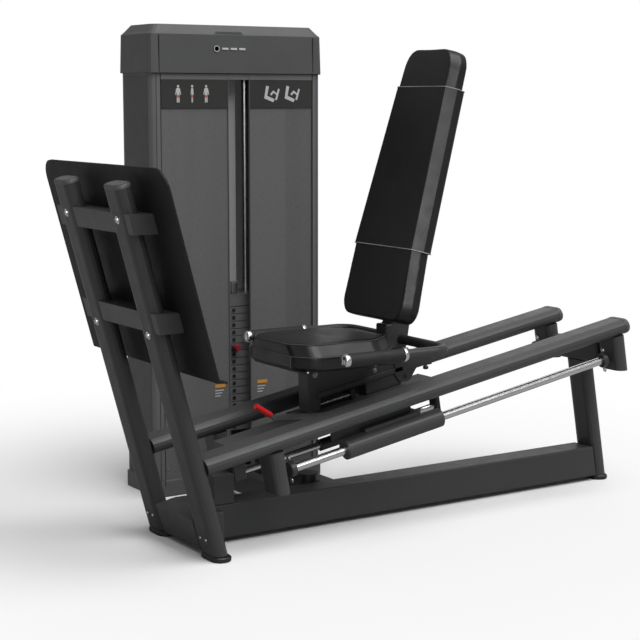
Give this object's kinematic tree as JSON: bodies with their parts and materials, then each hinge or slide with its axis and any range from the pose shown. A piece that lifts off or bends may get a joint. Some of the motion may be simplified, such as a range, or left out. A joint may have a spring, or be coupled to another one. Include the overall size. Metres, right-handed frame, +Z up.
{
  "type": "leg press machine",
  "caption": "Seated leg press with a seat that slides on inclined guide rods away from a fixed footplate, belt-driven from a weight stack in a side tower.",
  "frame": {"origin": "on the floor, under the middle of the whole machine's box", "axes": "+X from the footplate towards the rear leg, +Y from the seat towards the weight tower, +Z up"},
  "size_m": [2.0783, 1.2175, 1.652],
  "materials": {
    "frame_paint": "dark grey satin powder coat",
    "plate_paint": "near-black textured powder coat",
    "chrome": "polished",
    "steel": "satin",
    "weight_plate": "painted, satin",
    "black_plastic": "moulded, matte",
    "cap_plastic": "moulded, fine grain",
    "smoked_panel": "smoked acrylic",
    "rubber": "matte",
    "upholstery": "artificial leather, satin",
    "belt": "woven flat belt",
    "red_grip": "satin red plastic"
  },
  "bodies": {
    "frame": {"base_beam": "frame_paint", "front_cross_member": "frame_paint", "front_post_near": "frame_paint", "front_post_far": "frame_paint", "plate_tube_upper": "frame_paint", "plate_tube_lower": "frame_paint", "rail_near": "frame_paint", "rail_far": "frame_paint", "front_stub_near": "frame_paint", "front_stub_far": "frame_paint", "rear_stub_near": "frame_paint", "rear_stub_far": "frame_paint", "rear_leg": "frame_paint", "rear_cross_tube": "frame_paint", "link_beam_front": "frame_paint", "link_beam_rear": "frame_paint", "stop_bracket": "frame_paint", "tower_base": "frame_paint", "tower_side_left": "frame_paint", "tower_side_right": "frame_paint", "footplate": "plate_paint", "guide_rod_near": "chrome", "guide_rod_far": "chrome", "stack_rod_left": "chrome", "stack_rod_right": "chrome", "resting_weight_plates": "weight_plate", "front_foot_near": "black_plastic", "front_foot_far": "black_plastic", "rear_foot": "black_plastic", "tower_cap": "cap_plastic", "front_panel_left": "smoked_panel", "front_panel_right": "smoked_panel", "back_panel": "smoked_panel", "stack_buffer": "rubber"},
    "rack": {"rack_beam": "frame_paint", "rack_rod": "chrome", "rack_front_block": "frame_paint", "rack_rear_block": "rubber"},
    "seat_carriage": {"bearing_sleeve_near": "frame_paint", "bearing_sleeve_far": "frame_paint", "inner_sleeve": "black_plastic", "carriage_frame": "frame_paint", "seat_post": "frame_paint", "seat_tray": "black_plastic", "seat_pad": "upholstery", "handle_bar": "frame_paint", "grip_near": "rubber", "grip_far": "rubber", "backrest_post": "frame_paint", "backrest_pad": "upholstery"},
    "lifted_weight": {"lifted_weight_plates": "weight_plate", "stack_head": "weight_plate", "lift_belt": "belt"},
    "selector": {"selector_pin": "red_grip"},
    "lever": {"seat_lever": "steel", "seat_lever_grip": "red_grip"},
    "top_wheel": {"top_pulley": "black_plastic"},
    "tower_wheel": {"tower_pulley": "black_plastic"},
    "corner_wheel": {"corner_pulley": "black_plastic"},
    "front_wheel": {"front_pulley": "black_plastic"}
  },
  "joints": [
    {"name": "press_slide", "type": "slide", "parent": "frame", "child": "rack", "axis": [0.9848, 0, 0.1736], "range_m": [0, 0.54]},
    {"name": "seat_adjust", "type": "slide", "parent": "rack", "child": "seat_carriage", "axis": [0.9848, 0, 0.1736], "range_m": [-0.15, 0.05]},
    {"name": "weight_lift", "type": "slide", "parent": "frame", "child": "lifted_weight", "axis": [0, 0, 1], "range_m": [0, 0.54], "deforming": ["lift_belt"]},
    {"name": "selector_pull", "type": "slide", "parent": "lifted_weight", "child": "selector", "axis": [0, -1, 0], "range_m": [0, 0.055]},
    {"name": "lever_lift", "type": "hinge", "parent": "seat_carriage", "child": "lever", "pos_m": [-0.152, -0.2908, 0.38], "axis": [0, 1, 0], "range_deg": [0, 12], "stiffness_Nm_per_rad": 3, "springref_deg": -11.46},
    {"name": "top_pulley_turn", "type": "hinge", "parent": "frame", "child": "top_wheel", "pos_m": [-0.1625, 0.4992, 1.515], "axis": [1, 0, 0], "range_deg": [-500, 0]},
    {"name": "tower_pulley_turn", "type": "hinge", "parent": "frame", "child": "tower_wheel", "pos_m": [-0.1625, 0.5342, 0.16], "axis": [1, 0, 0], "range_deg": [-1080, 0]},
    {"name": "corner_pulley_turn", "type": "hinge", "parent": "frame", "child": "corner_wheel", "pos_m": [-0.1925, -0.1198, 0.13], "axis": [0, 0, 1], "range_deg": [0, 1080]},
    {"name": "front_pulley_turn", "type": "hinge", "parent": "frame", "child": "front_wheel", "pos_m": [-0.595, -0.1498, 0.16], "axis": [0, 1, 0], "range_deg": [0, 1080]}
  ],
  "couplings": [
    {"joint": "weight_lift", "follows": "press_slide", "ratio": 1},
    {"joint": "top_pulley_turn", "follows": "press_slide", "rad_per_m": -15.385},
    {"joint": "tower_pulley_turn", "follows": "press_slide", "rad_per_m": -33.333},
    {"joint": "corner_pulley_turn", "follows": "press_slide", "rad_per_m": 33.333},
    {"joint": "front_pulley_turn", "follows": "press_slide", "rad_per_m": 33.333}
  ]
}
